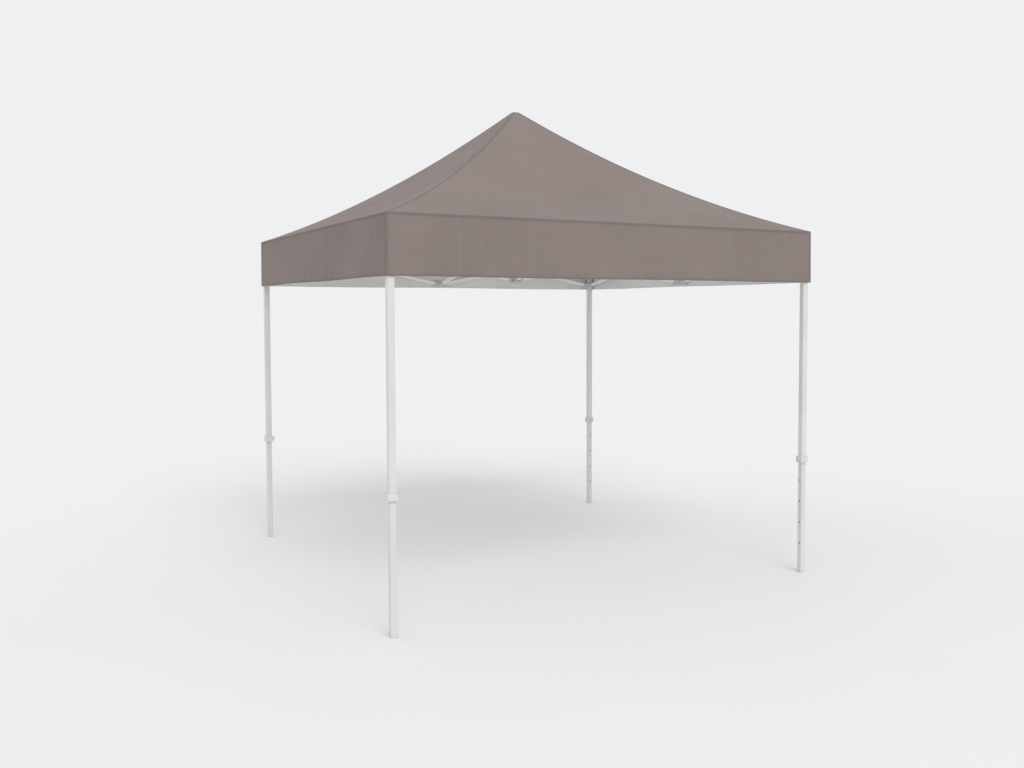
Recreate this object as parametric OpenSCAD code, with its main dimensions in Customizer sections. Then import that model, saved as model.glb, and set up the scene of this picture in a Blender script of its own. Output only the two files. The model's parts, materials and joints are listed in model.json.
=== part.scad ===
// Pop-up gazebo: a square canopy on four telescopic legs and a folding scissor frame.
// Millimetres. Z points up, the floor is z = 0 and the middle of the footprint is x = y = 0.
// Leg 1 stands at +x -y, and legs, sides and arms 1 to 4 follow each other anticlockwise.

/* [Frame] */
// distance between the centres of neighbouring legs
leg_spacing = 2940; // [2600:20:3200]
// height of the upper row of pivots
upper_pivot_z = 2300; // [2200:10:2300]
// height difference between the upper and the lower pivots when open
truss_depth = 265; // [250:5:280]
// height of the section of every scissor bar
bar_height = 25; // [22:1:25]
// thickness of the section of every scissor bar
bar_thick = 13; // [10:1:14]

/* [Legs] */
// width of the square outer leg tube
outer_leg_w = 40; // [40:1:42]
// width of the square inner leg tube
inner_leg_w = 36; // [32:1:36]
// wall thickness of both leg tubes
leg_wall = 1.5; // [1.2:0.1:1.5]
// height of the middle of the collar at the foot of each outer leg
collar_z = 785; // [700:5:820]
// outer width of the collar
collar_w = 62; // [58:1:66]
// height of the collar
collar_h = 42; // [36:1:48]
// distance between the height holes in an inner leg
hole_pitch = 145; // [120:5:150]
// length of inner leg that stays inside the outer leg
leg_overlap = 270; // [200:10:300]

/* [Canopy] */
// how far the eaves stand out from the legs' centres
eave_overhang = 28; // [28:1:36]
// height of the eaves, where the roof turns into the valance
eave_z = 2340; // [2332:1:2350]
// height of the peak
peak_z = 3247; // [3100:1:3300]
// how far the middle of a hip hangs below a straight line
hip_sag = 92; // [60:1:110]
// how far the middle of a face hangs below the line between its hips
face_sag = 14; // [5:1:20]
// height of the valance
valance_h = 344; // [300:1:360]
// how far the valance stands further out at its lower edge
valance_flare = 2; // [2:1:30]
// thickness of the cloth as modelled
cloth = 1.2; // [1.2:0.1:1.6]

/* [Hidden] */

$fn = 48;
cloth_colour = [0.545, 0.502, 0.486];
tube_colour = [0.93, 0.93, 0.92];
fitting_colour = [0.86, 0.86, 0.85];
knob_colour = [0.75, 0.75, 0.74];

// pivots
half = leg_spacing / 2;
lower_pivot_z = upper_pivot_z - truss_depth;
leg_gap = 44;
mid_gap = 42;
arm_gap = 46;
hub_gap = leg_gap + mid_gap - arm_gap;
span = half - leg_gap - mid_gap;
bar_length = sqrt(span * span + truss_depth * truss_depth);
bar_angle = atan(truss_depth / span);
pin_r = 4;
pin_play = 0.05;

// scissor bars
bar_gap = 1.5;
bar_wall = 0.9;
bar_corner = 2;
bar_plug = 26;
bush_r = 8;
rivet_head_r = 7;
rivet_head = 2;

// forks that hold the bar ends
cheek = 3.5;
cheek_play = 0.5;
fork_half = bar_height / 2 + 1.5;
fork_web = 12;
fork_in = -3;
fork_out = bar_gap + bar_thick + cheek_play + cheek;

// centre pole and its guide
pole_r = 17.5;
pole_wall = 1.5;
pole_play = 0.1;
guide_r = 18.1;
guide_wall = 3;
guide_bottom = lower_pivot_z - 9;
pole_top = peak_z - 7;
hub_floor = 4;
hub_drop = 48;
pole_bottom = lower_pivot_z - hub_drop + hub_floor + 0.2;
hub_disc_r = 30;
hub_block_r = 44;

// legs
leg_corner = 3;
outer_leg_top = upper_pivot_z + 28;
collar_lip = 4;
outer_leg_bottom = collar_z - collar_h / 2 + collar_lip;
collar_play = 0.4;
collar_corner = 9;
bracket_wall = 3;
bracket_play = 0.1;
bracket_drop = 44;
foot_pad = 5;
foot_plug = 26;
hole_r = 5.5;
hole_count = 4;
inner_leg_top = collar_z + leg_overlap;

// sliders and push pins
slider_wall = 4.5;
slider_play = 0.5;
slider_half = outer_leg_w / 2 + slider_play + slider_wall;
slider_up = 24;
slider_down = 26;
nose_gap = 0.3;
button_stem_r = 4.6;
button_head_r = 8;
button_head = 8;
lock_stem_r = 3;
lock_head_r = 6;
lock_head = 9;
lock_offset = 11;
knob_travel = 1;

// canopy
eave_half = half + eave_overhang;
peak_half = 18;
roof_steps = 14;
valance_steps = 2;
edge_steps = 10;
cloth_down = cloth * 1.25;

module rounded_rect(w, d, r) {
    square([w - 2 * r, d], center = true);
    square([w, d - 2 * r], center = true);
    for (x = [-1, 1], y = [-1, 1])
        translate([x * (w / 2 - r), y * (d / 2 - r)])
            circle(r);
}

module tube_section(w, d, r, wall) {
    difference() {
        rounded_rect(w, d, r);
        rounded_rect(w - 2 * wall, d - 2 * wall, max(r - wall, 0.3));
    }
}

// a block with its corner at the lowest values of from and its far corner at to
module block(from, to) {
    translate(from)
        cube(to - from);
}

module rod_y(r, y0, y1) {
    translate([0, y0, 0])
        rotate([-90, 0, 0])
            cylinder(r = r, h = y1 - y0);
}

// places a child in the frame of leg, side or arm k
module turned(k) {
    rotate([0, 0, 90 * (k - 1)])
        children();
}

module at_leg(k) {
    turned(k)
        translate([half, -half, 0])
            children();
}

// Fork for one bar end. The pivot is the origin, the bar leaves along +X on the side of +Y
// (side = 1) or -Y (side = -1), and the web is above (up = 1) or below (up = -1) the bar.
module fork(side, up, reach) {
    mirror([0, side > 0 ? 0 : 1, 0])
        mirror([0, 0, up > 0 ? 0 : 1]) {
            block([-reach, fork_out - cheek, -fork_half], [fork_half, fork_out, fork_half]);
            block([-reach, fork_in, -fork_half], [fork_half, bar_gap - cheek_play, fork_half]);
            block([-reach, fork_in, fork_half], [fork_half, fork_out, fork_half + fork_web]);
            if (reach > fork_half)
                block([-reach, fork_in, -fork_half], [-fork_half, fork_out, fork_half + 1]);
            rod_y(pin_r, fork_in, fork_out);
            rod_y(rivet_head_r, fork_out, fork_out + rivet_head);
        }
}

// Scissor bar from the origin along +X, on the +Y side of its truss plane.
module bar_body() {
    translate([0, bar_gap + bar_thick / 2, 0])
        translate([bar_plug, 0, 0])
            rotate([90, 0, 90])
                linear_extrude(bar_length - 2 * bar_plug)
                    tube_section(bar_thick, bar_height, bar_corner, bar_wall);
    for (x = [0, bar_length])
        translate([x, 0, 0])
            rod_y(bar_height / 2, bar_gap, bar_gap + bar_thick);
    for (x = [0, bar_length - bar_plug])
        translate([x, bar_gap, -bar_height / 2])
            cube([bar_plug, bar_thick, bar_height]);
    translate([bar_length / 2, 0, 0])
        rod_y(bush_r, bar_gap, bar_gap + bar_thick);
}

// places the end pivots' holes
module end_bores() {
    for (x = [0, bar_length])
        translate([x, 0, 0])
            rod_y(pin_r + pin_play, bar_gap - 1, bar_gap + bar_thick + 1);
}

// bar that carries the rivet of its crossing
module high_bar() {
    difference() {
        bar_body();
        end_bores();
    }
    translate([bar_length / 2, 0, 0]) {
        rod_y(pin_r, -bar_gap - bar_thick - cheek_play, bar_gap + 1);
        rod_y(rivet_head_r, -bar_gap + cheek_play, bar_gap + 0.5);
        rod_y(rivet_head_r, bar_gap + bar_thick - 0.5, bar_gap + bar_thick + rivet_head);
        rod_y(rivet_head_r, -bar_gap - bar_thick - cheek_play - rivet_head, -bar_gap - bar_thick - cheek_play);
    }
}

// bar with a bore for the rivet of its crossing
module low_bar() {
    difference() {
        bar_body();
        end_bores();
        translate([bar_length / 2, 0, 0])
            rod_y(pin_r + pin_play, bar_gap - 1, bar_gap + bar_thick + 1);
    }
}

module side_high_bar(k, far) {
    color(tube_colour)
        turned(k)
            mirror([0, far ? 1 : 0, 0])
                translate([half, -mid_gap, lower_pivot_z])
                    rotate([0, 0, -90])
                        rotate([0, -bar_angle, 0])
                            high_bar();
}

module side_low_bar(k, far) {
    color(tube_colour)
        turned(k)
            mirror([0, far ? 1 : 0, 0])
                translate([half, leg_gap - half, lower_pivot_z])
                    rotate([0, 0, 90])
                        rotate([0, -bar_angle, 0])
                            low_bar();
}

module arm_high_bar(k) {
    color(tube_colour)
        turned(k)
            translate([hub_gap, 0, upper_pivot_z])
                rotate([0, bar_angle, 0])
                    high_bar();
}

module arm_low_bar(k) {
    color(tube_colour)
        turned(k)
            translate([hub_gap, 0, lower_pivot_z])
                rotate([0, -bar_angle, 0])
                    mirror([0, 1, 0])
                        low_bar();
}

// connector in the middle of a side: two side bars and one arm meet in it
module mid_connector(k, side, up, z, arm_reach) {
    color(fitting_colour)
        turned(k)
            translate([half, 0, z]) {
                for (m = [0, 1])
                    mirror([0, m, 0])
                        translate([0, -mid_gap, 0])
                            rotate([0, 0, -90])
                                fork(side, up, mid_gap);
                translate([-arm_gap, 0, 0])
                    rotate([0, 0, 180])
                        fork(-side, up, arm_reach);
            }
}

module upper_mid(k) {
    mid_connector(k, -1, 1, upper_pivot_z, arm_gap - fork_out + cheek - 0.5);
}

module lower_mid(k) {
    mid_connector(k, 1, -1, lower_pivot_z, arm_gap + bar_gap - cheek_play);
}

module hub_forks(side, up) {
    for (k = [1:4])
        turned(k)
            translate([hub_gap, 0, 0])
                fork(side, up, hub_gap - guide_r - guide_wall - 3);
}

module hub_upper() {
    color(fitting_colour)
        difference() {
            union() {
                translate([0, 0, upper_pivot_z])
                    hub_forks(1, 1);
                translate([0, 0, upper_pivot_z + fork_half])
                    cylinder(r = hub_disc_r, h = fork_web);
                translate([0, 0, guide_bottom])
                    cylinder(r = guide_r + guide_wall, h = upper_pivot_z + fork_half - guide_bottom);
            }
            translate([0, 0, guide_bottom - 1])
                cylinder(r = guide_r, h = truss_depth + 100);
        }
}

// eight-sided block with a chamfered foot, under the forks of the lower hub
module hub_block(h) {
    cylinder(r1 = hub_block_r - 4, r2 = hub_block_r, h = 4, $fn = 8);
    translate([0, 0, 4])
        cylinder(r = hub_block_r, h = h - 4, $fn = 8);
}

module hub_lower() {
    color(fitting_colour)
        difference() {
            union() {
                translate([0, 0, lower_pivot_z])
                    hub_forks(-1, -1);
                translate([0, 0, lower_pivot_z - fork_half - fork_web])
                    cylinder(r = hub_disc_r, h = fork_web);
                translate([0, 0, lower_pivot_z - hub_drop])
                    rotate([0, 0, 22.5])
                        hub_block(hub_drop - fork_half - fork_web / 2);
            }
            translate([0, 0, lower_pivot_z - hub_drop + hub_floor])
                cylinder(r = pole_r + pole_play, h = 120);
        }
}

module centre_pole() {
    color(tube_colour)
        difference() {
            translate([0, 0, pole_bottom])
                cylinder(r = pole_r, h = pole_top - pole_bottom);
            translate([0, 0, pole_bottom + 12])
                cylinder(r = pole_r - pole_wall, h = pole_top - pole_bottom - 24);
        }
}

module outer_leg(k) {
    color(tube_colour)
        at_leg(k) {
            difference() {
                translate([0, 0, outer_leg_bottom])
                    linear_extrude(outer_leg_top - 4 - outer_leg_bottom)
                        tube_section(outer_leg_w, outer_leg_w, leg_corner, leg_wall);
                translate([-outer_leg_w / 2 - 1, 0, collar_z])
                    rotate([0, 90, 0])
                        cylinder(r = hole_r + 0.3, h = leg_wall + 4);
                translate([lock_offset, outer_leg_w / 2 - 4, lower_pivot_z])
                    rotate([-90, 0, 0])
                        cylinder(r = lock_stem_r + 0.5, h = 8);
            }
            leg_bracket();
        }
}

// cap and two forks on top of an outer leg
module leg_bracket() {
    difference() {
        translate([0, 0, upper_pivot_z - bracket_drop])
            linear_extrude(outer_leg_top - upper_pivot_z + bracket_drop)
                rounded_rect(outer_leg_w + 2 * bracket_wall, outer_leg_w + 2 * bracket_wall, 4);
        translate([0, 0, upper_pivot_z - bracket_drop - 1])
            linear_extrude(outer_leg_top - upper_pivot_z + bracket_drop - 2)
                rounded_rect(outer_leg_w + 2 * bracket_play, outer_leg_w + 2 * bracket_play, leg_corner);
    }
    translate([0, leg_gap, upper_pivot_z])
        rotate([0, 0, 90])
            fork(-1, 1, leg_gap - outer_leg_w / 2 - bracket_wall + 1);
    translate([-leg_gap, 0, upper_pivot_z])
        rotate([0, 0, 180])
            fork(1, 1, leg_gap - outer_leg_w / 2 - bracket_wall + 1);
}

module collar(k) {
    color(fitting_colour)
        at_leg(k)
            difference() {
                union() {
                    translate([0, 0, collar_z - collar_h / 2])
                        linear_extrude(collar_h)
                            rounded_rect(collar_w, collar_w, collar_corner);
                    translate([-collar_w / 2 - 3, 0, collar_z])
                        rotate([0, 90, 0])
                            cylinder(r = button_head_r + 3, h = 6);
                }
                translate([0, 0, outer_leg_bottom])
                    linear_extrude(collar_h)
                        rounded_rect(outer_leg_w, outer_leg_w, leg_corner);
                translate([0, 0, collar_z - collar_h / 2 - 1])
                    linear_extrude(collar_h)
                        square(inner_leg_w + 2 * collar_play, center = true);
                translate([-collar_w, 0, collar_z])
                    rotate([0, 90, 0])
                        cylinder(r = button_stem_r + pin_play, h = collar_w);
            }
}

module inner_leg(k) {
    color(tube_colour)
        at_leg(k) {
            difference() {
                translate([0, 0, foot_pad])
                    linear_extrude(inner_leg_top - foot_pad)
                        tube_section(inner_leg_w, inner_leg_w, leg_corner - 1, leg_wall);
                for (n = [0:hole_count])
                    translate([-inner_leg_w / 2 - 1, 0, collar_z - n * hole_pitch])
                        rotate([0, 90, 0])
                            cylinder(r = hole_r, h = leg_wall + 3);
            }
            linear_extrude(foot_pad)
                rounded_rect(inner_leg_w, inner_leg_w, leg_corner - 1);
            translate([0, 0, foot_pad])
                linear_extrude(foot_plug)
                    square(inner_leg_w - 2 * leg_wall, center = true);
        }
}

// spring button through the collar wall, its nose just short of the inner leg
module height_button(k) {
    nose = inner_leg_w / 2 + nose_gap;
    head = collar_w / 2 + 3 + knob_travel;
    color(knob_colour)
        at_leg(k)
            translate([0, 0, collar_z])
                rotate([0, -90, 0]) {
                    translate([0, 0, nose])
                        cylinder(r = button_stem_r, h = head - nose + 1);
                    translate([0, 0, head])
                        cylinder(r = button_head_r, h = button_head);
                }
}

module slider(k) {
    inside = outer_leg_w + 2 * slider_play;
    color(fitting_colour)
        at_leg(k)
            difference() {
                union() {
                    translate([0, 0, lower_pivot_z - slider_down])
                        linear_extrude(slider_up + slider_down)
                            rounded_rect(2 * slider_half, 2 * slider_half, 6);
                    translate([0, leg_gap, lower_pivot_z])
                        rotate([0, 0, 90])
                            fork(1, -1, leg_gap - slider_half + 2);
                    translate([-leg_gap, 0, lower_pivot_z])
                        rotate([0, 0, 180])
                            fork(-1, -1, leg_gap - slider_half + 2);
                }
                translate([0, 0, lower_pivot_z - slider_down - 1])
                    linear_extrude(slider_up + slider_down + 2)
                        rounded_rect(inside, inside, leg_corner);
                translate([lock_offset, 0, lower_pivot_z])
                    rod_y(lock_stem_r + pin_play, 0, slider_half + 1);
            }
}

// spring pin in the slider, its nose just short of the outer leg
module lock_pin(k) {
    nose = outer_leg_w / 2 + nose_gap;
    head = slider_half + knob_travel;
    color(knob_colour)
        at_leg(k)
            translate([lock_offset, 0, lower_pivot_z]) {
                rod_y(lock_stem_r, nose, head + 1);
                rod_y(lock_head_r, head, head + lock_head);
            }
}

// height of the hips at a share s of the way from the peak to the eaves
function hip_z(s) = peak_z - (peak_z - eave_z) * s - 4 * hip_sag * s * (1 - s);

// half width of the roof at that share
function roof_half(s) = peak_half + (eave_half - peak_half) * s;

// one closed ring of points, with the middles of its sides lower by sag and further in by pull
function ring(h, z, sag, pull) = [
    for (k = [0:3], n = [0:edge_steps - 1])
        let (t = 2 * n / edge_steps - 1, bow = 1 - t * t, a = 90 * k)
            [
                (h - pull * bow) * cos(a) - h * t * sin(a),
                (h - pull * bow) * sin(a) + h * t * cos(a),
                z - sag * bow
            ]
];

function face_drop(s) = 4 * face_sag * s * (1 - s);

module canopy() {
    roof_shares = [for (n = [0:roof_steps]) pow(n / roof_steps, 1.2)];
    drops = [for (n = [1:valance_steps]) n / valance_steps];
    inset = cloth / eave_half;
    rings = concat(
        [for (s = roof_shares) ring(roof_half(s), hip_z(s), face_drop(s), 0)],
        [for (d = drops) ring(eave_half + valance_flare * d, eave_z - valance_h * d, 0, 0)],
        [
            for (n = [valance_steps - 1:-1:0])
                let (d = drops[n])
                    ring(eave_half + valance_flare * d - cloth, eave_z - valance_h * d, 0, 0)
        ],
        [
            for (n = [roof_steps:-1:0])
                let (s = roof_shares[n])
                    ring(roof_half(s) * (1 - inset), hip_z(s) - cloth_down, face_drop(s), 0)
        ]
    );
    around = 4 * edge_steps;
    last = len(rings) - 1;
    outer_middle = len(rings) * around;
    inner_middle = outer_middle + 1;
    points = concat([for (r = rings) each r], [[0, 0, peak_z], [0, 0, peak_z - cloth_down]]);
    walls = [
        for (r = [0:last - 1], i = [0:around - 1])
            let (j = (i + 1) % around, a = r * around, b = a + around)
                each [[a + i, a + j, b + i], [a + j, b + j, b + i]]
    ];
    caps = [
        for (i = [0:around - 1])
            let (j = (i + 1) % around)
                each [[outer_middle, j, i], [inner_middle, last * around + i, last * around + j]]
    ];
    color(cloth_colour)
        polyhedron(points, concat(walls, caps));
}

canopy();
hub_upper();
hub_lower();
centre_pole();
upper_mid(1);  // upper_mid_1
upper_mid(2);  // upper_mid_2
upper_mid(3);  // upper_mid_3
upper_mid(4);  // upper_mid_4
lower_mid(1);  // lower_mid_1
lower_mid(2);  // lower_mid_2
lower_mid(3);  // lower_mid_3
lower_mid(4);  // lower_mid_4
arm_high_bar(1);  // arm_1_high
arm_high_bar(2);  // arm_2_high
arm_high_bar(3);  // arm_3_high
arm_high_bar(4);  // arm_4_high
arm_low_bar(1);  // arm_1_low
arm_low_bar(2);  // arm_2_low
arm_low_bar(3);  // arm_3_low
arm_low_bar(4);  // arm_4_low
side_high_bar(1, false);  // side_1_high_a
side_high_bar(2, false);  // side_2_high_a
side_high_bar(3, false);  // side_3_high_a
side_high_bar(4, false);  // side_4_high_a
side_high_bar(1, true);  // side_1_high_b
side_high_bar(2, true);  // side_2_high_b
side_high_bar(3, true);  // side_3_high_b
side_high_bar(4, true);  // side_4_high_b
side_low_bar(1, false);  // side_1_low_a
side_low_bar(2, false);  // side_2_low_a
side_low_bar(3, false);  // side_3_low_a
side_low_bar(4, false);  // side_4_low_a
side_low_bar(1, true);  // side_1_low_b
side_low_bar(2, true);  // side_2_low_b
side_low_bar(3, true);  // side_3_low_b
side_low_bar(4, true);  // side_4_low_b
outer_leg(1);  // outer_leg_1
outer_leg(2);  // outer_leg_2
outer_leg(3);  // outer_leg_3
outer_leg(4);  // outer_leg_4
collar(1);  // collar_1
collar(2);  // collar_2
collar(3);  // collar_3
collar(4);  // collar_4
inner_leg(1);  // inner_leg_1
inner_leg(2);  // inner_leg_2
inner_leg(3);  // inner_leg_3
inner_leg(4);  // inner_leg_4
height_button(1);  // height_button_1
height_button(2);  // height_button_2
height_button(3);  // height_button_3
height_button(4);  // height_button_4
slider(1);  // slider_1
slider(2);  // slider_2
slider(3);  // slider_3
slider(4);  // slider_4
lock_pin(1);  // lock_pin_1
lock_pin(2);  // lock_pin_2
lock_pin(3);  // lock_pin_3
lock_pin(4);  // lock_pin_4
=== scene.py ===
"""Looks of the pop-up gazebo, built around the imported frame."""
import json
import math

import bpy
import numpy as np
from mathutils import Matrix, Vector, noise

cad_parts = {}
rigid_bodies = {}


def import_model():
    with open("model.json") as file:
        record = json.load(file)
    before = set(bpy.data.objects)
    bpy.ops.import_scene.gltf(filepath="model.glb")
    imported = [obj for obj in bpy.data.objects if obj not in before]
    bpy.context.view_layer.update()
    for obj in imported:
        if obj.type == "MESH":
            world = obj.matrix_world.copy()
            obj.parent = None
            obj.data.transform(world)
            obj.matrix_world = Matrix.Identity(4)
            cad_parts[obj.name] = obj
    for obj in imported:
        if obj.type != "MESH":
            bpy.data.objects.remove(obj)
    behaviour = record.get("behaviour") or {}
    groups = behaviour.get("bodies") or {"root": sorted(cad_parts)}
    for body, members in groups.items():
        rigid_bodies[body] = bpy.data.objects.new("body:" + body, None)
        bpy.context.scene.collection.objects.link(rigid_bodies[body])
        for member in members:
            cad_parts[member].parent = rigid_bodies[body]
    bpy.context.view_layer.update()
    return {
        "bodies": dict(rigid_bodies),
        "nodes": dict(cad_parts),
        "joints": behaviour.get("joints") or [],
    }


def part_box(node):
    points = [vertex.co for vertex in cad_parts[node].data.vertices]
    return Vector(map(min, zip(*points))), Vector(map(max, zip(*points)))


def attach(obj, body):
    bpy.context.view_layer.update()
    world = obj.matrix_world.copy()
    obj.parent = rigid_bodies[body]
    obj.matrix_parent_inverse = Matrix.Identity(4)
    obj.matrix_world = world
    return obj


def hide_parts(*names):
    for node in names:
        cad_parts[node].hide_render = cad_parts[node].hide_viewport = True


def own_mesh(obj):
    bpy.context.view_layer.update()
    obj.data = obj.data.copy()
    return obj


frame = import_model()
joints = {j["name"]: j for j in frame["joints"]}

# ---------------------------------------------------------------- sizes from the frame

# pivots of the linkage: the plane of the side bars, then how far their ends are from the middle of
# the side, and the arms' ends from the centre
PIVOT = joints["fold_side_1_high_a"]["pos_m"]
HALF = PIVOT[0]
MID_GAP = abs(PIVOT[1])
LOWER_Z = PIVOT[2]
UPPER_Z = joints["fold"]["pos_m"][2]
HUB_GAP = joints["fold"]["pos_m"][0]
LEG_END = abs(joints["fold_leg_1"]["pos_m"][1])
ARM_END = joints["fold_lower_mid_1"]["pos_m"][0]
FOLD_END = math.radians(joints["fold"]["range_deg"][1])

CANOPY_LO, CANOPY_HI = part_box("canopy")
PEAK_Z = CANOPY_HI.z
HEM_HALF = CANOPY_HI.x
HEM_Z = CANOPY_LO.z
FLARE = 0.002         # the hem stands out this far past the eaves
EAVE_HALF = HEM_HALF - FLARE
VALANCE = 0.344
EAVE_Z = HEM_Z + VALANCE
PEAK_HALF = 0.018     # half width of the flat top
HIP_SAG = 0.092       # of the roof below a straight line from the peak to the eaves
FACE_SAG = 0.014      # and of the middles of its faces below the hips
CLOTH = 0.0007        # thickness shown
THREAD = 0.0009       # from one thread of the weave to the next
STITCH = 0.0042       # from one stitch to the next
SEAM_STITCH = (0.0028, 0.0082)   # distances of the rows of stitches from the line of a seam
HEM_STITCH = (0.0225, 0.0025)    # and from the lower edge
WEAVE_RATE = 2 * math.pi / THREAD   # angle of the weave's waves in each metre
SIDE_SHIFT = 4.37     # keeps the patterns of the four sides apart
PATCH = 0.18          # reach of the doubled cloth from each corner of the roof
PEAK_PATCH = 0.24     # and from the peak, down the cloth
PATCH_EDGE = 0.005    # from a patch's edge to its stitches
FAR = 9.0             # stands for the distance to the hem on the roof, where it has none
# cosine of the roof's slope at the eaves
EAVE_SLOPE = math.cos(math.atan((PEAK_Z - EAVE_Z - 4 * HIP_SAG) / (EAVE_HALF - PEAK_HALF)))

# how far the legs come in and the lower hub drops when the frame is folded
BAR = math.hypot(LEG_END - MID_GAP, UPPER_Z - LOWER_Z)
BAR_ANGLE = math.atan2(UPPER_Z - LOWER_Z, LEG_END - MID_GAP)
LEG_IN = (LEG_END - MID_GAP) - BAR * math.cos(BAR_ANGLE + FOLD_END)
HUB_DROP = BAR * math.sin(BAR_ANGLE + FOLD_END) - (UPPER_Z - LOWER_Z)


# ---------------------------------------------------------------- node materials

class Shader:
    """A material made of nodes, with short calls for the nodes used here."""

    def __init__(self, name, **uniform):
        self.material = bpy.data.materials.new(name)
        self.material.use_nodes = True
        self.tree = self.material.node_tree
        self.tree.nodes.clear()
        out = self.tree.nodes.new("ShaderNodeOutputMaterial")
        self.surface = self.tree.nodes.new("ShaderNodeBsdfPrincipled")
        self.tree.links.new(self.surface.outputs[0], out.inputs[0])
        for key, value in uniform.items():
            self.surface.inputs[key.replace("_", " ")].default_value = value

    def put(self, socket, value):
        if isinstance(value, bpy.types.NodeSocket):
            self.tree.links.new(value, socket)
        elif value is not None:
            socket.default_value = value

    def node(self, kind, inputs=(), **settings):
        made = self.tree.nodes.new("ShaderNode" + kind)
        for key, value in settings.items():
            setattr(made, key, value)
        for key, value in dict(inputs).items():
            self.put(made.inputs[key], value)
        return made

    def math(self, operation, a, b=None, clamp=False):
        made = self.node("Math", operation=operation, use_clamp=clamp)
        for socket, value in zip(made.inputs, (a, b)):
            self.put(socket, value)
        return made.outputs[0]

    def each(self, operation, *values):
        """One operation over several values, such as their maximum."""
        total = values[0]
        for value in values[1:]:
            total = self.math(operation, total, value)
        return total

    def wave(self, value, rate):
        return self.math("SINE", self.math("MULTIPLY", value, rate))

    def ramp(self, value, low, high, to_low=0.0, to_high=1.0):
        """Goes smoothly from to_low to to_high while the value goes from low to high."""
        made = self.node("MapRange", {0: value, 1: low, 2: high, 3: to_low, 4: to_high})
        made.interpolation_type = "SMOOTHSTEP"
        return made.outputs[0]

    def mix(self, share, a, b):
        made = self.node("Mix", data_type="RGBA")
        self.put(made.inputs[0], share)
        self.put(made.inputs[6], a)
        self.put(made.inputs[7], b)
        return made.outputs[2]

    def noise(self, where, scale, detail, rough=0.5):
        made = self.node("TexNoise", {"Vector": where, "Scale": scale, "Detail": detail,
                                      "Roughness": rough})
        return made.outputs["Fac"]

    def scaled(self, where, x, y, z):
        made = self.node("VectorMath", {0: where, 1: (x, y, z)}, operation="MULTIPLY")
        return made.outputs[0]

    def place(self):
        return self.node("TexCoord").outputs["Object"]

    def bump(self, height, strength, distance, normal=None):
        made = self.node("Bump", {"Height": height, "Strength": strength,
                                  "Distance": distance, "Normal": normal})
        return made.outputs[0]

    def edges(self, radius):
        """A normal that rounds the edges, and how far it leans from the face."""
        edge = self.node("Bevel", {"Radius": radius}, samples=4)
        facing = self.node("NewGeometry")
        turn = self.node("VectorMath", {0: edge.outputs[0], 1: facing.outputs["Normal"]},
                         operation="DOT_PRODUCT")
        return edge.outputs[0], turn.outputs["Value"]

    def cloth(self):
        """The cloth's own places: the point, across and down it, and the gaps to hip, eave and hem."""
        lay = self.node("Attribute", attribute_name="cloth_lay").outputs["Vector"]
        seam = self.node("Attribute", attribute_name="cloth_seam").outputs["Vector"]
        across, along, _ = self.node("SeparateXYZ", {0: lay}).outputs
        from_hip, from_eave, from_hem = self.node("SeparateXYZ", {0: seam}).outputs
        return lay, across, along, from_hip, from_eave, from_hem

    def row(self, gap, distance):
        """A line as wide as sewing thread, at a distance from a seam."""
        return self.ramp(self.math("ABSOLUTE", self.math("SUBTRACT", gap, distance)), 0.0007, 0.00025)

    def stitches(self, gap, distance, run):
        """That line as a row of stitches along the seam."""
        dash = self.ramp(self.math("PINGPONG", run, STITCH / 2), 0.0003, 0.0007)
        return self.math("MULTIPLY", self.row(gap, distance), dash)

    def finish(self, colour, roughness, normal=None):
        self.put(self.surface.inputs["Base Color"], colour)
        self.put(self.surface.inputs["Roughness"], roughness)
        self.put(self.surface.inputs["Normal"], normal)
        return self.material


def powder_coat(name, white, scratches):
    """White powder coat: soft orange peel, slight yellowing, rubbed edges, dust at the foot."""
    m = Shader(name, Coat_Weight=0.12, Coat_Roughness=0.3, Specular_IOR_Level=0.45)
    at = m.place()
    high = m.node("SeparateXYZ", {0: at}).outputs[2]
    cloud = m.noise(at, 3.1, 4.0)
    peel = m.noise(at, 950.0, 1.0)
    long_marks = m.noise(m.scaled(at, 320.0, 320.0, 5.0), 1.0, 3.0, 0.6)
    rub = m.ramp(long_marks, 0.62, 0.74)
    rounded, turn = m.edges(0.0022)
    worn = m.ramp(turn, 0.99, 0.86)
    chips = m.ramp(m.noise(at, 60.0, 3.0, 0.65), 0.50, 0.64, 0.35, 1.0)
    chipped = m.math("MULTIPLY", worn, chips)
    dust = m.math("MULTIPLY", m.ramp(high, 0.22, 0.0), m.ramp(m.noise(at, 26.0, 5.0, 0.65), 0.35, 0.75))
    base = m.mix(m.ramp(cloud, 0.35, 0.7), (white, white, white * 0.985, 1),
                 (white * 0.94, white * 0.94, white * 0.92, 1))
    base = m.mix(m.math("MULTIPLY", rub, scratches), base, (0.56, 0.56, 0.56, 1))
    base = m.mix(m.math("MULTIPLY", chipped, 0.75), base, (0.42, 0.42, 0.43, 1))
    base = m.mix(m.math("MULTIPLY", dust, 0.45), base, (0.47, 0.43, 0.38, 1))
    rough = m.math("ADD", m.ramp(cloud, 0.3, 0.7, 0.34, 0.46), m.math("MULTIPLY", dust, 0.3))
    rough = m.math("ADD", rough, m.math("MULTIPLY", rub, 0.12), clamp=True)
    normal = m.bump(peel, 0.12, 0.0004, rounded)
    normal = m.bump(rub, 0.10 * scratches, -0.0002, normal)
    return m.finish(base, rough, normal)


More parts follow.
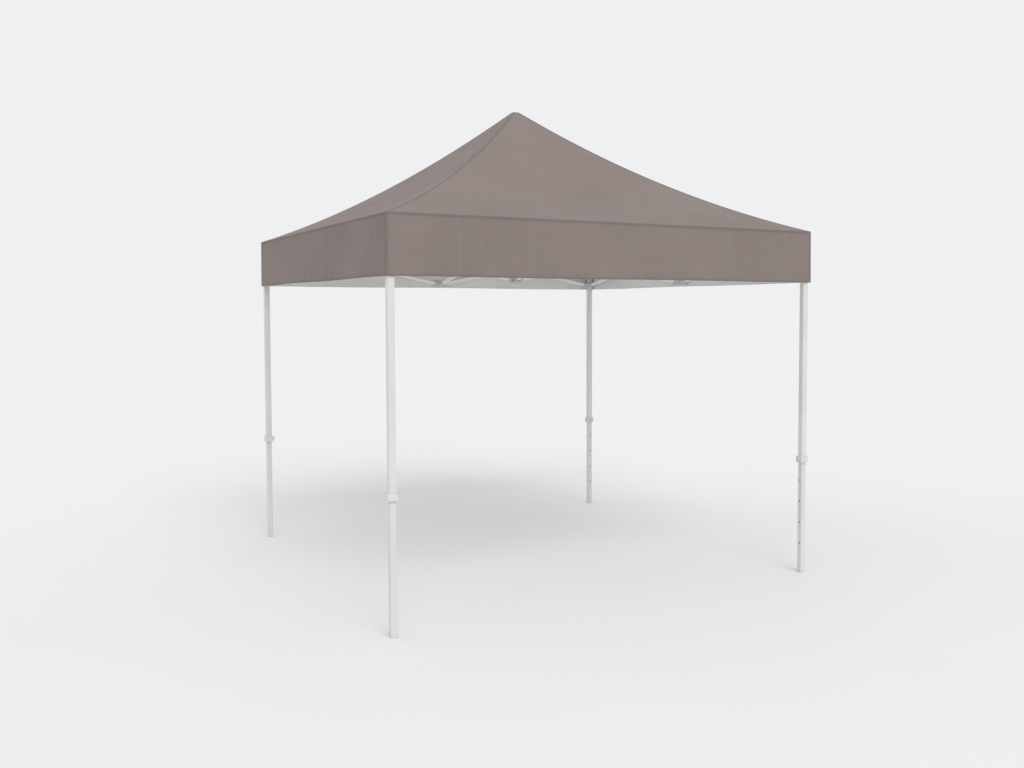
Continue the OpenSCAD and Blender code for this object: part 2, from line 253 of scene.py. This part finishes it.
def moulding(name, light, dark, shine):
    """Glass-filled nylon: fine spark texture, faint flow marks, polished edges."""
    m = Shader(name, Specular_IOR_Level=0.4)
    at = m.place()
    cloud = m.noise(at, 14.0, 4.0)
    flow = m.noise(m.scaled(at, 30.0, 30.0, 140.0), 1.0, 4.0, 0.6)
    grain = m.noise(at, 1700.0, 2.0)
    rounded, turn = m.edges(0.0012)
    worn = m.ramp(turn, 0.995, 0.88)
    base = m.mix(m.ramp(cloud, 0.3, 0.72), light, dark)
    base = m.mix(m.math("MULTIPLY", m.ramp(flow, 0.5, 0.8), 0.35), base, dark)
    rough = m.math("SUBTRACT", m.ramp(cloud, 0.3, 0.7, shine, shine + 0.12), m.math("MULTIPLY", worn, 0.16))
    normal = m.bump(grain, 0.22, 0.00025, rounded)
    normal = m.bump(flow, 0.06, 0.0004, normal)
    return m.finish(base, rough, normal)


def zinc(name):
    """Plated steel of the pins and rivets."""
    m = Shader(name, Metallic=1.0)
    at = m.place()
    cloud = m.noise(at, 180.0, 4.0, 0.6)
    spangle = m.node("TexVoronoi", {"Vector": at, "Scale": 420.0}).outputs["Distance"]
    base = m.mix(m.ramp(cloud, 0.3, 0.7), (0.60, 0.61, 0.63, 1), (0.44, 0.45, 0.46, 1))
    rough = m.ramp(cloud, 0.25, 0.75, 0.26, 0.44)
    return m.finish(base, rough, m.bump(spangle, 0.15, 0.0002))


def coated_cloth(name):
    """Coated polyester: plain weave, mottling, creases from the bag, stitching along the seams."""
    m = Shader(name, Sheen_Weight=0.02, Sheen_Roughness=0.45, Sheen_Tint=(0.93, 0.90, 0.88, 1),
               Specular_IOR_Level=0.06)
    lay, across, along, from_hip, from_eave, from_hem = m.cloth()
    # threads: warp and weft as ridges of a plain weave, with thicker stretches here and there
    over = m.math("MULTIPLY", m.wave(across, WEAVE_RATE / 2), m.wave(along, WEAVE_RATE / 2))
    warp = m.math("MULTIPLY", m.wave(across, WEAVE_RATE), m.ramp(over, -0.4, 0.4, 0.2, 1.0))
    weft = m.math("MULTIPLY", m.wave(along, WEAVE_RATE), m.ramp(over, 0.4, -0.4, 0.2, 1.0))
    weave = m.math("ADD", warp, weft)
    slub = m.noise(m.scaled(lay, 900.0, 14.0, 1.0), 1.0, 2.0)
    slub_2 = m.noise(m.scaled(lay, 14.0, 900.0, 1.0), 1.0, 2.0)
    # mottling and the creases left by the carry bag
    cloud = m.noise(lay, 1.3, 5.0, 0.55)
    patches = m.noise(lay, 9.0, 4.0, 0.6)
    bend = m.noise(lay, 2.2, 3.0)
    lines = []
    for value, step, shift in ((across, 0.47, 0.11), (along, 0.39, 0.2)):
        bent = m.math("ADD", value, m.math("MULTIPLY", bend, 0.05))
        fold = m.math("PINGPONG", m.math("ADD", bent, shift), step / 2)
        lines.append(m.ramp(fold, 0.012, 0.0))
    crease = m.math("MULTIPLY", m.each("MAXIMUM", *lines), m.ramp(cloud, 0.40, 0.62))
    # rows of stitches beside the hips, the eaves and the hem, and a darker edge along them
    rows = [m.stitches(from_hip, distance, along) for distance in SEAM_STITCH]
    rows += [m.stitches(from_eave, distance, across) for distance in SEAM_STITCH]
    rows += [m.stitches(from_hem, distance, across) for distance in HEM_STITCH]
    stitch = m.each("MAXIMUM", *rows)
    shade = m.ramp(m.each("MINIMUM", from_hip, from_eave, from_hem), 0.03, 0.0)
    base = m.mix(m.ramp(cloud, 0.3, 0.72), (0.216, 0.180, 0.168, 1), (0.194, 0.161, 0.150, 1))
    base = m.mix(m.math("MULTIPLY", m.ramp(patches, 0.4, 0.75), 0.35), base, (0.232, 0.196, 0.183, 1))
    base = m.mix(m.math("MULTIPLY", m.ramp(weave, -0.9, 0.9), 0.16), base, (0.285, 0.247, 0.232, 1))
    base = m.mix(m.math("MULTIPLY", m.ramp(slub, 0.58, 0.72), 0.12), base, (0.135, 0.112, 0.104, 1))
    base = m.mix(m.math("MULTIPLY", m.ramp(slub_2, 0.58, 0.72), 0.12), base, (0.135, 0.112, 0.104, 1))
    base = m.mix(m.math("MULTIPLY", crease, 0.22), base, (0.262, 0.225, 0.211, 1))
    base = m.mix(m.math("MULTIPLY", shade, 0.30), base, (0.132, 0.109, 0.101, 1))
    base = m.mix(m.math("MULTIPLY", stitch, 0.75), base, (0.095, 0.082, 0.078, 1))
    rough = m.math("ADD", m.ramp(cloud, 0.3, 0.7, 0.66, 0.78), m.math("MULTIPLY", crease, -0.08))
    normal = m.bump(weave, 0.18, 0.00025)
    normal = m.bump(patches, 0.10, 0.002, normal)
    normal = m.bump(crease, 0.45, 0.0016, normal)
    normal = m.bump(stitch, 0.6, 0.0005, normal)
    return m.finish(base, rough, normal)


def inner_coating(name):
    """The pale waterproof coating inside the canopy, with taped seams and sewn-on corner and peak patches."""
    m = Shader(name, Specular_IOR_Level=0.35, Sheen_Weight=0.05)
    lay, across, along, from_hip, from_eave, from_hem = m.cloth()
    weave = m.math("MULTIPLY", m.wave(across, WEAVE_RATE), m.wave(along, WEAVE_RATE))
    cloud = m.noise(lay, 2.1, 5.0, 0.6)
    fine = m.noise(lay, 38.0, 4.0, 0.6)
    tape = m.ramp(m.math("MINIMUM", from_hip, from_eave), 0.0125, 0.0115)
    # doubled cloth where the legs and the pole bear: a quarter disc at each corner of the roof, which
    # goes on down the valance, with a row of stitches inside its edge
    on_roof = m.ramp(from_hem, VALANCE, FAR)
    beside = m.math("ADD", from_hip, m.each("MULTIPLY", from_eave, EAVE_SLOPE, on_roof))
    corner = m.math("SQRT", m.math("ADD", m.math("POWER", beside, 2.0), m.math("POWER", from_eave, 2.0)))
    patch = m.math("MAXIMUM", m.ramp(corner, PATCH, PATCH - 0.001),
                   m.ramp(along, PEAK_PATCH, PEAK_PATCH - 0.001))
    sewn = m.math("MAXIMUM", m.row(corner, PATCH - PATCH_EDGE), m.row(along, PEAK_PATCH - PATCH_EDGE))
    run = m.math("ADD", across, along)
    sewn = m.math("MULTIPLY", sewn, m.ramp(m.math("PINGPONG", run, 0.0024), 0.0004, 0.0008))
    stitch = m.stitches(from_hem, HEM_STITCH[0], across)
    base = m.mix(m.ramp(cloud, 0.3, 0.7), (0.75, 0.745, 0.73, 1), (0.685, 0.68, 0.665, 1))
    base = m.mix(m.math("MULTIPLY", m.ramp(fine, 0.45, 0.75), 0.25), base, (0.62, 0.61, 0.595, 1))
    base = m.mix(m.math("MULTIPLY", m.ramp(weave, -0.5, 0.5), 0.08), base, (0.58, 0.565, 0.55, 1))
    base = m.mix(m.math("MULTIPLY", tape, 0.45), base, (0.82, 0.815, 0.805, 1))
    doubled = m.math("MULTIPLY", patch, m.ramp(fine, 0.3, 0.7, 0.86, 0.96))
    base = m.mix(doubled, base, (0.225, 0.188, 0.175, 1))
    base = m.mix(m.math("MULTIPLY", sewn, 0.7), base, (0.08, 0.07, 0.066, 1))
    base = m.mix(m.math("MULTIPLY", stitch, 0.7), base, (0.16, 0.14, 0.13, 1))
    rough = m.math("SUBTRACT", m.ramp(cloud, 0.3, 0.7, 0.48, 0.6), m.math("MULTIPLY", tape, 0.14))
    normal = m.bump(weave, 0.10, 0.0002)
    normal = m.bump(fine, 0.08, 0.0015, normal)
    normal = m.bump(tape, 0.5, 0.0003, normal)
    normal = m.bump(patch, 0.6, 0.0006, normal)
    return m.finish(base, rough, normal)


# ---------------------------------------------------------------- canopy

SEAM = (0.0, 0.0012, 0.0095, 0.0115, 0.018)      # distances of a seam's rows from its line
SEAM_RISE = (0.0016, 0.0013, 0.0010, 0.0, 0.0)   # how far those rows stand proud
HEM = (0.0262, 0.0248, 0.0125, 0.0015, 0.0)      # distances of the hem's rows from the lower edge
HEM_DEPTH = 0.0255    # of the doubled cloth
HEM_RISE = 0.0010     # how far it stands proud
HEM_CLEAR = 0.028     # where the plain rows of the valance end above the lower edge
TOP_RINGS = ((0.006, 0.0), (0.012, 0.0002))      # half width and depth below the peak
ROOF_ROWS = 54
VALANCE_ROWS = 17
INNER = 110           # columns between the seams of a side
TILT = math.atan2(PEAK_Z - EAVE_Z, EAVE_HALF - PEAK_HALF)   # the roof's mean slope

# the cloth when the frame is folded
PLEATS = 12           # folds of a side
TOP_HALF = 0.030      # half width of its gathered top
TOP_Z = 2.615         # height of its middle
TOP_FALL = 0.225      # and how far it falls on the way to the legs
HANG = 0.60           # how far the eaves hang down between the legs


def smooth(x, low, high):
    t = np.clip((x - low) / (high - low), 0, 1)
    return t * t * (3 - 2 * t)


def chance(*seed):
    """A fixed number from 0 to 1 for whole numbers."""
    x = math.sin(sum(v * f for v, f in zip(seed, (12.9898, 78.233, 37.719)))) * 43758.5453
    return x - math.floor(x)


def roof_height(s):
    return PEAK_Z - (PEAK_Z - EAVE_Z) * s - 4 * HIP_SAG * s * (1 - s)


def roof_share(w):
    """0 at the flat top's edge and 1 at the eaves, for a half width w."""
    return np.clip((w - PEAK_HALF) / (EAVE_HALF - PEAK_HALF), 0, 1)


def columns(w):
    """Places across a side at a half width w, with how far each stands proud at the hip seam."""
    shrink = min(1.0, w / 0.08)
    border = [d * shrink for d in SEAM]
    inner = w - border[-1]
    left = [-(w - d) for d in border]
    middle = [-inner + 2 * inner * n / INNER for n in range(1, INNER)]
    right = [w - d for d in reversed(border)][:-1]
    rise = list(SEAM_RISE) + [0.0] * (INNER - 1) + list(reversed(SEAM_RISE))[:-1]
    return np.array(left + middle + right), np.array([r * shrink for r in rise])


def canopy_rows():
    """Rows from the peak to the hem: (kind, half width, height, run down the cloth, drop of the valance)."""
    rows = [("top", w, PEAK_Z - depth, w, 0.0) for w, depth in TOP_RINGS]
    steps = [0.0, 0.003, 0.0075, 0.013] + [(n / ROOF_ROWS) ** 1.12 for n in range(2, ROOF_ROWS)]
    steps += [1 - d / (EAVE_HALF - PEAK_HALF) for d in reversed(SEAM[1:])] + [1.0]
    run = TOP_RINGS[-1][0]
    last = (run, PEAK_Z)
    for s in sorted(steps):
        w = PEAK_HALF + (EAVE_HALF - PEAK_HALF) * s
        z = roof_height(s) - 0.0008 * math.exp(-s / 0.004)
        run += math.hypot(w - last[0], z - last[1])
        last = (w, z)
        rows.append(("roof", w, z, run, 0.0))
    plain = VALANCE - SEAM[-1] - HEM_CLEAR
    drops = list(SEAM[1:]) + [SEAM[-1] + plain * n / VALANCE_ROWS for n in range(1, VALANCE_ROWS + 1)]
    drops += [VALANCE - d for d in HEM]
    for d in drops:
        rows.append(("valance", EAVE_HALF + FLARE * d / VALANCE, EAVE_Z - d, run + d, d))
    return rows


def valance_slack(k, t, fall):
    """How far a row of the valance stands out: waves that grow towards the hem, and tugs at the corners."""
    from_corner = 1 - np.abs(t)
    wave = np.zeros(len(t))
    for n, turns in enumerate((1.5, 2.6, 4.1, 6.3, 9.7), 1):
        size = 0.0030 / n ** 0.6 * (0.6 + 0.8 * chance(k, n, 3))
        wave += size * np.sin(math.pi * turns * (t + 1) + 6.28 * chance(k, n, 5))
    tug = 0.0016 * np.sin(38 * from_corner + 9 * fall) * np.exp(-from_corner * 9)
    shape = smooth(from_corner, 0.0, 0.16)
    return wave * shape * fall ** 1.3 + tug * shape * (0.35 + fall)


def roof_slack(k, w, across):
    """How far a row of the roof lifts: slack between the hips, and folds from the corners and the peak."""
    s, t = roof_share(w), across / w
    ripple = np.zeros(len(t))
    for i, x in enumerate(across):
        place = Vector((w * math.cos(k * 1.5708) * 0.9 + k * 7.3, x * 0.9, s * 1.4))
        ripple[i] = noise.fractal(place * 1.7, 0.9, 2.1, 3)
    spread = np.hypot(EAVE_HALF - w, EAVE_HALF - np.abs(across))
    angle = np.arctan2(EAVE_HALF - np.abs(across), EAVE_HALF - w + 1e-6)
    tug = np.sin(angle * 17 + k * 1.3 + np.sign(across)) * np.exp(-spread / 0.42)
    tug *= smooth(spread, 0.02, 0.2)
    fan = np.sin(t * 13.0 + k * 2.1) * np.exp(-s / 0.16) * smooth(s, 0.01, 0.08)
    still = smooth(1 - np.abs(t), 0.0, 0.10) * smooth(EAVE_HALF - w, 0.0, 0.08)
    # the slack fades out towards the peak, so that the roof meets the flat top evenly
    return (0.0055 * ripple * (1 - t * t) * smooth(s, 0.0, 0.06) + 0.0024 * tug + 0.0016 * fan) * still


def rest_row(row, k, across, rise, to_eave):
    """Where a side's row lies when the frame is open: how far out, along the side and up."""
    kind, w, z, _, drop = row
    s, t = roof_share(w), across / w
    bow = 1 - t * t
    out = np.full(len(t), float(w))
    up = np.full(len(t), float(z))
    proud = np.maximum(rise, float(np.interp(to_eave, SEAM, SEAM_RISE)))
    if kind == "valance":
        fall = drop / VALANCE
        if VALANCE - drop < HEM_DEPTH:
            proud = np.maximum(proud, HEM_RISE)
        if VALANCE - drop < 0.001:
            proud = np.maximum(proud - 0.0006, 0)
        out += valance_slack(k, t, fall) + proud
        up += 0.0022 * np.sin(5.2 * t + k) * bow * fall ** 2
    elif kind == "roof":
        up -= 4 * FACE_SAG * s * (1 - s) * bow
        up += roof_slack(k, w, across)
        # the seams are raised square to the roof
        up += proud * math.cos(TILT)
        out += proud * math.sin(TILT)
    return out, across * (out / w), up


def folded_row(row, k, across, up):
    """Where it lies when the frame is folded: bunched over its top, in pleats round the legs."""
    kind, w, _, _, drop = row
    s, t = roof_share(w), across / w
    half = EAVE_HALF - LEG_IN            # the cloth's half width round the folded legs
    reach = smooth(s, 0.03, 0.42)
    deep = smooth(s, 0.25, 0.8)
    down = smooth(s, 0.36, 1.0)
    fall = drop / VALANCE
    flare = w - EAVE_HALF if kind == "valance" else 0.0
    edge = smooth(1 - np.abs(t), 0.0, 0.16)
    u = (t + 1) / 2 * PLEATS
    ridge = (0.5 - 0.5 * np.cos(2 * math.pi * u)) * edge
    # each pleat has its own size, which goes over into the next one's
    this, following = (np.array([0.75 + 0.5 * chance(k, math.floor(x) + n, 1) for x in u]) for n in (0, 1))
    share = smooth(u - np.floor(u), 0.6, 1.0)
    size = this * (1 - share) + following * share
    out = TOP_HALF + (half + 0.004 * deep - TOP_HALF) * reach + (0.060 * deep + 0.022 * fall) * ridge * size
    along = t * (TOP_HALF + (half - TOP_HALF) * reach + flare)
    along = along + 0.003 * np.sin(2 * math.pi * u + 3 * chance(k, 2, 8)) * edge * deep
    low = HANG * (1 - np.abs(t) ** 2.4) + 0.03 * (size - 1) * edge
    dome = TOP_Z - TOP_FALL * smooth(s, 0.0, 0.40) - 0.03 * ridge * (1 - deep) * reach
    high = dome * (1 - down) + (EAVE_Z - low) * down - drop
    return out + flare, along, np.minimum(high, up)


def turned(k, out, side, up):
    """The points of side k, from how far they are out, along the side and up."""
    c, sn = math.cos(k * math.pi / 2), math.sin(k * math.pi / 2)
    return np.stack([out * c - side * sn, out * sn + side * c, up], 1)


def build_canopy():
    """The cloth, and its points at rest and folded."""
    rows = canopy_rows()
    slope_end = rows[-1][3] - VALANCE
    points, folded, lay, gaps = [], [], [], []
    for row in rows:
        kind, w, _, run, drop = row
        across, rise = columns(w)
        to_eave, to_hem = (drop, VALANCE - drop) if kind == "valance" else (slope_end - run, FAR)
        for k in range(4):
            out, side, up = rest_row(row, k, across, rise, to_eave)
            points.append(turned(k, out, side, up))
            folded.append(turned(k, *folded_row(row, k, across, up)))
            lay += [(x + k * SIDE_SHIFT, run, 0.0) for x in across]
            gaps += [(w - abs(x), abs(to_eave), to_hem) for x in across]
    points, folded = np.concatenate(points), np.concatenate(folded)
    # the apex, in the middle of the flat top
    around = 4 * len(across)
    points = np.vstack([points, [[0, 0, PEAK_Z]]])
    folded = np.vstack([folded, [[0, 0, folded[:around, 2].mean() + 0.002]]])
    lay = np.array(lay + [(0.0, 0.0, 0.0)])
    gaps = np.array(gaps + [(rows[0][1], slope_end, FAR)])
    piece = bpy.data.objects.new("canopy_cloth", sew(rows, around, points, lay, gaps))
    bpy.context.scene.collection.objects.link(piece)
    return piece, points, folded


def sew(rows, around, points, lay, gaps):
    """The mesh: a fan of triangles round the apex, which is the last point, then quads from row to row."""
    count = around // 4
    apex = len(points) - 1
    faces, corner_lay = [], []
    for i in range(around):
        j = (i + 1) % around
        faces.append((apex, i, j))
        corner_lay += [lay[i] * (1, 0, 1), lay[i], lay[j]]
    for r in range(len(rows) - 1):
        for i in range(around):
            j = (i + 1) % around
            a, b = r * around, (r + 1) * around
            faces.append((a + i, b + i, b + j, a + j))
            # the last column of a side ends on the next side's hip, where its own count goes on
            far_a, far_b = lay[a + j].copy(), lay[b + j].copy()
            if j % count == 0:
                k = i // count
                far_a[0], far_b[0] = rows[r][1] + k * SIDE_SHIFT, rows[r + 1][1] + k * SIDE_SHIFT
            corner_lay += [lay[a + i], lay[b + i], far_b, far_a]
    mesh = bpy.data.meshes.new("canopy_cloth")
    mesh.from_pydata([tuple(p) for p in points], [], faces)
    mesh.attributes.new("cloth_lay", "FLOAT_VECTOR", "CORNER").data.foreach_set(
        "vector", np.array(corner_lay, np.float32).ravel())
    mesh.attributes.new("cloth_seam", "FLOAT_VECTOR", "POINT").data.foreach_set(
        "vector", gaps.astype(np.float32).ravel())
    for p in mesh.polygons:
        p.use_smooth = True
    mesh.update()
    return mesh


def hook(piece, body, weights):
    """The cloth's points follow a body by these shares, as the frame folds."""
    group = piece.vertex_groups.new(name="with_" + body)
    for i in np.nonzero(weights > 1e-5)[0]:
        group.add([int(i)], float(weights[i]), "REPLACE")
    made = piece.modifiers.new("with_" + body, "HOOK")
    made.object = frame["bodies"][body]
    made.vertex_group = group.name
    made.falloff_type = "NONE"
    made.strength = 1.0


def gather(piece, points, folded):
    """Shares of the legs' way in and of the lower hub's drop that bring each point to its folded place.

    The cloth is right with the frame open and folded. In between it passes through the frame.
    """
    x = (points[:, 0] - folded[:, 0]) / LEG_IN
    y = (points[:, 1] - folded[:, 1]) / LEG_IN
    # each leg comes in along a diagonal
    p, q = np.clip((x + y) / 2, -1, 1), np.clip((x - y) / 2, -1, 1)
    for body, weights in (("leg_2", p), ("leg_4", -p), ("leg_1", q), ("leg_3", -q)):
        hook(piece, body, np.maximum(weights, 0))
    hook(piece, "hub_lower", np.clip((points[:, 2] - folded[:, 2]) / HUB_DROP, 0, 1))


cloth_material = coated_cloth("canopy_polyester")
canopy, canopy_points, canopy_folded = build_canopy()
canopy.data.materials.append(cloth_material)
canopy.data.materials.append(inner_coating("canopy_coating"))
gather(canopy, canopy_points, canopy_folded)
thick = canopy.modifiers.new("thickness", "SOLIDIFY")
thick.thickness = CLOTH
thick.offset = -1.0
thick.use_quality_normals = True
thick.material_offset = 1
thick.material_offset_rim = 0
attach(canopy, "hub_upper")
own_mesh(canopy)
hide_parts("canopy")


def flat_area():
    """The cut's area: the flat top, four roof panels and four valance strips."""
    rows = canopy_rows()
    area = (2 * PEAK_HALF) ** 2
    for a, b in zip(rows, rows[1:]):
        if b[1] > PEAK_HALF:
            area += 4 * (a[1] + b[1]) * (b[3] - a[3])
    return area


# the cloth runs this far from hem to hem over the peak, along the middle of two sides
FLAT_SIDE = 2 * canopy_rows()[-1][3]
flat_area()

# ---------------------------------------------------------------- frame materials

# painted light: the bars and the pole get a lighter white (0.86) than the legs' copy of the same powder coat
# (0.62), to make up for the shade they stand in under the canopy
bar_coat_painted_light = powder_coat("powder_coat_bars_painted_light", 0.86, 0.10)
leg_coat = powder_coat("powder_coat_legs", 0.62, 0.20)
rubbed_coat = powder_coat("powder_coat_rubbed", 0.62, 0.38)
nylon = moulding("nylon_white", (0.64, 0.64, 0.63, 1), (0.58, 0.58, 0.57, 1), 0.42)
knob_nylon = moulding("nylon_grey", (0.55, 0.55, 0.54, 1), (0.49, 0.49, 0.48, 1), 0.34)
pin_steel = zinc("zinc_steel")


def pivots():
    """Every pivot at rest: a point of its mid plane and its axis."""
    found = []
    for k in range(4):
        c, sn = round(math.cos(k * math.pi / 2)), round(math.sin(k * math.pi / 2))
        mid = (UPPER_Z + LOWER_Z) / 2
        side = [(HALF, e * y, z) for e in (-1, 1) for y, z in (
            (MID_GAP, UPPER_Z), (MID_GAP, LOWER_Z), (LEG_END, UPPER_Z), (LEG_END, LOWER_Z),
            ((MID_GAP + LEG_END) / 2, mid))]
        arm = [(HUB_GAP, 0, UPPER_Z), (HUB_GAP, 0, LOWER_Z), (ARM_END, 0, UPPER_Z), (ARM_END, 0, LOWER_Z),
               ((HUB_GAP + ARM_END) / 2, 0, mid)]
        for places, axis in ((side, (c, sn, 0)), (arm, (-sn, c, 0))):
            found += [((x * c - y * sn, x * sn + y * c, z), axis) for x, y, z in places]
    return found


PIVOTS = pivots()
PIN_REACH = 0.00406   # a little more than the radius of the pins
HEAD_REACH = 0.0072   # and than that of their heads
BAR_HEAD, FORK_HEAD = 0.01455, 0.01855   # where heads on bars and on forks begin, from the mid plane
HEAD_END = 0.022      # past all the heads


def paint(name, material):
    """Gives a CAD node its material, and plated steel to the pins and rivet heads on it."""
    o = frame["nodes"][name]
    if not o.data.materials:
        o.data.materials.append(material)
    for slot in o.material_slots:
        slot.material = material
    if name.startswith(("height_button", "lock_pin", "collar", "inner_leg", "centre_pole")):
        return
    o.data.materials.append(pin_steel)
    steel = len(o.data.materials) - 1
    mesh = o.data
    centres = np.zeros(len(mesh.polygons) * 3)
    mesh.polygons.foreach_get("center", centres)
    centres = centres.reshape(-1, 3)
    head_from = BAR_HEAD if name.startswith(("arm_", "side_")) else FORK_HEAD
    chosen = np.zeros(len(centres), bool)
    for at, axis in PIVOTS:
        rel = centres - np.array(at)
        off = rel @ np.array(axis, float)
        away = np.linalg.norm(rel - np.outer(off, axis), axis=1)
        chosen |= (away < PIN_REACH) & (np.abs(off) < HEAD_END)
        chosen |= (away < HEAD_REACH) & (np.abs(off) > head_from) & (np.abs(off) < HEAD_END)
    for i in np.nonzero(chosen)[0]:
        mesh.polygons[int(i)].material_index = steel


for name in frame["nodes"]:
    if name == "canopy":
        continue
    if name.startswith(("height_button", "lock_pin")):
        paint(name, knob_nylon)
    elif name.startswith(("hub", "upper_mid", "lower_mid", "collar", "slider")):
        paint(name, nylon)
    elif name.startswith("inner_leg"):
        paint(name, rubbed_coat)
    elif name.startswith("outer_leg"):
        paint(name, leg_coat)
    else:
        # bars and pole: their white is painted lighter than the legs' to make up for the shade under the
        # canopy
        paint(name, bar_coat_painted_light)

# ---------------------------------------------------------------- floor, light and camera


def floor_material():
    m = Shader("studio_floor", Specular_IOR_Level=0.0)
    at = m.place()
    cloud = m.noise(at, 0.6, 3.0)
    base = m.mix(m.ramp(cloud, 0.3, 0.7), (0.724, 0.729, 0.734, 1), (0.717, 0.722, 0.727, 1))
    return m.finish(base, 0.85)


def disc(name, radius, sides):
    mesh = bpy.data.meshes.new(name)
    ring = [(radius * math.cos(2 * math.pi * n / sides), radius * math.sin(2 * math.pi * n / sides), 0.0)
            for n in range(sides)]
    mesh.from_pydata(ring, [], [tuple(range(sides))])
    made = bpy.data.objects.new(name, mesh)
    bpy.context.scene.collection.objects.link(made)
    return made


floor = disc("studio_ground", 300.0, 64)
floor.data.materials.append(floor_material())

scene = bpy.context.scene
scene.view_settings.view_transform = "Standard"
scene.view_settings.look = "None"
world = bpy.data.worlds.new("studio")
scene.world = world
world.use_nodes = True
world.node_tree.nodes["Background"].inputs[0].default_value = (0.985, 0.99, 1.0, 1)
world.node_tree.nodes["Background"].inputs[1].default_value = 0.88


def sun(name, towards, strength, angle, colour):
    light = bpy.data.lights.new(name, "SUN")
    light.energy = strength
    light.angle = math.radians(angle)
    light.color = colour
    made = bpy.data.objects.new(name, light)
    made.rotation_mode = "QUATERNION"
    made.rotation_quaternion = Vector(towards).to_track_quat("-Z", "Y")
    scene.collection.objects.link(made)


sun("key", (-0.90, 0.10, -0.75), 1.45, 40, (1.0, 0.985, 0.965))
sun("fill", (0.4, 0.9, -0.6), 0.3, 60, (0.95, 0.97, 1.0))

# camera fitted to the feet, collars, valance corners and peak of the photograph
CAMERA_AT = (6.917, -3.348, 1.817)
YAW, PITCH = math.radians(150.639), math.radians(-3.008)
lens = bpy.data.cameras.new("photo_camera")
lens.sensor_width = 36.0
lens.lens = 36.545
lens.shift_x = -0.06631
lens.shift_y = -0.02002
camera = bpy.data.objects.new("photo_camera", lens)
camera.location = CAMERA_AT
camera.rotation_mode = "QUATERNION"
camera.rotation_quaternion = Vector((math.cos(YAW) * math.cos(PITCH), math.sin(YAW) * math.cos(PITCH),
                                     math.sin(PITCH))).to_track_quat("-Z", "Y")
scene.collection.objects.link(camera)
scene.camera = camera
